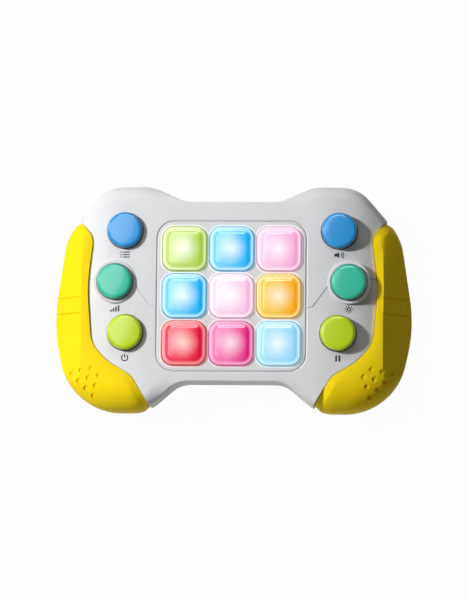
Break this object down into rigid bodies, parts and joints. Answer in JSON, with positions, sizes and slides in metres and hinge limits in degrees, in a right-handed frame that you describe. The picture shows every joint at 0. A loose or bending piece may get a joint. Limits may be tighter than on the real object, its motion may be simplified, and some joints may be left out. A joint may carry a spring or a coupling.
{
  "type": "handheld electronic game",
  "caption": "Two-handed electronic game: a grey lobed housing with yellow grips, a square panel of lit colour keys and round buttons at both sides.",
  "frame": {"origin": "middle of the outline, on the surface that the game lies on", "axes": "+X to the player's right hand, +Y to the top edge, +Z out of the face"},
  "size_m": [0.1674, 0.1054, 0.0304],
  "materials": {
    "housing_grey": "fine satin",
    "grip_yellow": "satin",
    "panel_grey": "fine satin",
    "button_blue": "glossy",
    "button_teal": "glossy",
    "button_lime": "glossy",
    "dome_rubber": "matte silicone",
    "board_green": "solder-mask gloss",
    "led_white": "clear resin",
    "chip_black": "matte",
    "capacitor_sleeve": "shrink sleeve",
    "screw_steel": "zinc plated",
    "contact_steel": "nickel plated",
    "basket_black": "matte",
    "cone_paper": "pressed",
    "lead_red": "PVC",
    "lead_black": "PVC",
    "cell_wrap": "plain sleeve",
    "key_green": "translucent, lit from below",
    "key_blue": "translucent, lit from below",
    "key_pink": "translucent, lit from below",
    "key_sky": "translucent, lit from below",
    "key_pale_pink": "translucent, lit from below",
    "key_orange": "translucent, lit from below",
    "key_red": "translucent, lit from below",
    "key_magenta": "translucent, lit from below",
    "key_pale_blue": "translucent, lit from below"
  },
  "bodies": {
    "housing": {"front_shell": "housing_grey", "rear_shell": "housing_grey", "left_grip": "grip_yellow", "right_grip": "grip_yellow", "key_panel": "panel_grey", "key_dome_lower_left": "dome_rubber", "key_dome_lower_middle": "dome_rubber", "key_dome_lower_right": "dome_rubber", "key_dome_middle_left": "dome_rubber", "key_dome_centre": "dome_rubber", "key_dome_middle_right": "dome_rubber", "key_dome_upper_left": "dome_rubber", "key_dome_upper_middle": "dome_rubber", "key_dome_upper_right": "dome_rubber", "button_dome_left_upper": "dome_rubber", "button_dome_left_middle": "dome_rubber", "button_dome_left_lower": "dome_rubber", "button_dome_right_upper": "dome_rubber", "button_dome_right_middle": "dome_rubber", "button_dome_right_lower": "dome_rubber", "main_board": "board_green", "leds": "led_white", "controller_chip": "chip_black", "capacitor": "capacitor_sleeve", "board_screws": "screw_steel", "housing_screws": "screw_steel", "speaker_basket": "basket_black", "speaker_cone": "cone_paper", "speaker_leads": "lead_black", "battery_leads": "lead_red", "contact_plates": "contact_steel", "contact_spring_upper": "contact_steel", "contact_spring_middle": "contact_steel", "contact_spring_lower": "contact_steel", "battery_cell_upper": "cell_wrap", "battery_cell_middle": "cell_wrap", "battery_cell_lower": "cell_wrap"},
    "key_lower_left": {"key_lower_left": "key_red"},
    "key_lower_middle": {"key_lower_middle": "key_magenta"},
    "key_lower_right": {"key_lower_right": "key_pale_blue"},
    "key_middle_left": {"key_middle_left": "key_sky"},
    "key_centre": {"key_centre": "key_pale_pink"},
    "key_middle_right": {"key_middle_right": "key_orange"},
    "key_upper_left": {"key_upper_left": "key_green"},
    "key_upper_middle": {"key_upper_middle": "key_blue"},
    "key_upper_right": {"key_upper_right": "key_pink"},
    "button_left_upper": {"button_left_upper": "button_blue"},
    "button_left_middle": {"button_left_middle": "button_teal"},
    "button_left_lower": {"button_left_lower": "button_lime"},
    "button_right_upper": {"button_right_upper": "button_blue"},
    "button_right_middle": {"button_right_middle": "button_teal"},
    "button_right_lower": {"button_right_lower": "button_lime"},
    "battery_door": {"battery_door": "housing_grey", "door_screws": "screw_steel"}
  },
  "joints": [
    {"name": "key_lower_left_travel", "type": "slide", "parent": "housing", "child": "key_lower_left", "axis": [0, 0, -1], "range_m": [0, 0.002], "stiffness_N_per_m": 450, "springref_m": -0.0005, "deforming": ["key_dome_lower_left"]},
    {"name": "key_lower_middle_travel", "type": "slide", "parent": "housing", "child": "key_lower_middle", "axis": [0, 0, -1], "range_m": [0, 0.002], "stiffness_N_per_m": 450, "springref_m": -0.0005, "deforming": ["key_dome_lower_middle"]},
    {"name": "key_lower_right_travel", "type": "slide", "parent": "housing", "child": "key_lower_right", "axis": [0, 0, -1], "range_m": [0, 0.002], "stiffness_N_per_m": 450, "springref_m": -0.0005, "deforming": ["key_dome_lower_right"]},
    {"name": "key_middle_left_travel", "type": "slide", "parent": "housing", "child": "key_middle_left", "axis": [0, 0, -1], "range_m": [0, 0.002], "stiffness_N_per_m": 450, "springref_m": -0.0005, "deforming": ["key_dome_middle_left"]},
    {"name": "key_centre_travel", "type": "slide", "parent": "housing", "child": "key_centre", "axis": [0, 0, -1], "range_m": [0, 0.002], "stiffness_N_per_m": 450, "springref_m": -0.0005, "deforming": ["key_dome_centre"]},
    {"name": "key_middle_right_travel", "type": "slide", "parent": "housing", "child": "key_middle_right", "axis": [0, 0, -1], "range_m": [0, 0.002], "stiffness_N_per_m": 450, "springref_m": -0.0005, "deforming": ["key_dome_middle_right"]},
    {"name": "key_upper_left_travel", "type": "slide", "parent": "housing", "child": "key_upper_left", "axis": [0, 0, -1], "range_m": [0, 0.002], "stiffness_N_per_m": 450, "springref_m": -0.0005, "deforming": ["key_dome_upper_left"]},
    {"name": "key_upper_middle_travel", "type": "slide", "parent": "housing", "child": "key_upper_middle", "axis": [0, 0, -1], "range_m": [0, 0.002], "stiffness_N_per_m": 450, "springref_m": -0.0005, "deforming": ["key_dome_upper_middle"]},
    {"name": "key_upper_right_travel", "type": "slide", "parent": "housing", "child": "key_upper_right", "axis": [0, 0, -1], "range_m": [0, 0.002], "stiffness_N_per_m": 450, "springref_m": -0.0005, "deforming": ["key_dome_upper_right"]},
    {"name": "button_left_upper_travel", "type": "slide", "parent": "housing", "child": "button_left_upper", "axis": [0, 0, -1], "range_m": [0, 0.0015], "stiffness_N_per_m": 450, "springref_m": -0.0005, "deforming": ["button_dome_left_upper"]},
    {"name": "button_left_middle_travel", "type": "slide", "parent": "housing", "child": "button_left_middle", "axis": [0, 0, -1], "range_m": [0, 0.0015], "stiffness_N_per_m": 450, "springref_m": -0.0005, "deforming": ["button_dome_left_middle"]},
    {"name": "button_left_lower_travel", "type": "slide", "parent": "housing", "child": "button_left_lower", "axis": [0, 0, -1], "range_m": [0, 0.0015], "stiffness_N_per_m": 450, "springref_m": -0.0005, "deforming": ["button_dome_left_lower"]},
    {"name": "button_right_upper_travel", "type": "slide", "parent": "housing", "child": "button_right_upper", "axis": [0, 0, -1], "range_m": [0, 0.0015], "stiffness_N_per_m": 450, "springref_m": -0.0005, "deforming": ["button_dome_right_upper"]},
    {"name": "button_right_middle_travel", "type": "slide", "parent": "housing", "child": "button_right_middle", "axis": [0, 0, -1], "range_m": [0, 0.0015], "stiffness_N_per_m": 450, "springref_m": -0.0005, "deforming": ["button_dome_right_middle"]},
    {"name": "button_right_lower_travel", "type": "slide", "parent": "housing", "child": "button_right_lower", "axis": [0, 0, -1], "range_m": [0, 0.0015], "stiffness_N_per_m": 450, "springref_m": -0.0005, "deforming": ["button_dome_right_lower"]},
    {"name": "battery_door_lift", "type": "slide", "parent": "housing", "child": "battery_door", "axis": [0, 0, -1], "range_m": [0, 0.02]}
  ]
}
